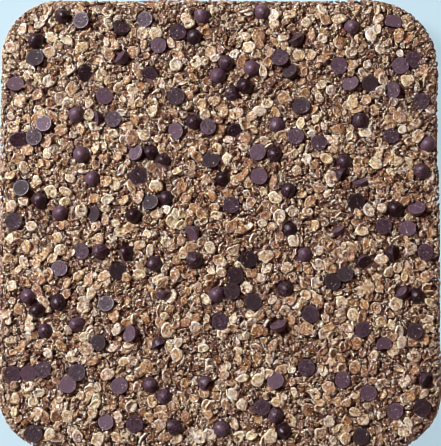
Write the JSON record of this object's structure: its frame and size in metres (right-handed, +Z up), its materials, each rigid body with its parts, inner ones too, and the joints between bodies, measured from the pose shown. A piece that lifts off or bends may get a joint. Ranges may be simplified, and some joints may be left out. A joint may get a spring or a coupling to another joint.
{
  "type": "uncut granola bar slab",
  "caption": "Square slab of chewy oat granola with rounded corners, pressed flat and dotted with chocolate chips, before it is cut into bars.",
  "frame": {"origin": "middle of the flat base that the slab rests on", "axes": "+Z up out of the studded top; +X across the slab; +Y along its slightly longer side"},
  "size_m": [0.2224, 0.2282, 0.0189],
  "materials": {
    "toasted_oats": "matt toasted oat flakes with a thin syrup glaze",
    "syrup_binder": "dark set syrup and nut butter between the flakes, satin",
    "chocolate": "semi-sweet chocolate, satin on the domes and matt on the flat bases"
  },
  "bodies": {
    "root": {"granola_slab": "toasted_oats"}
  },
  "joints": []
}
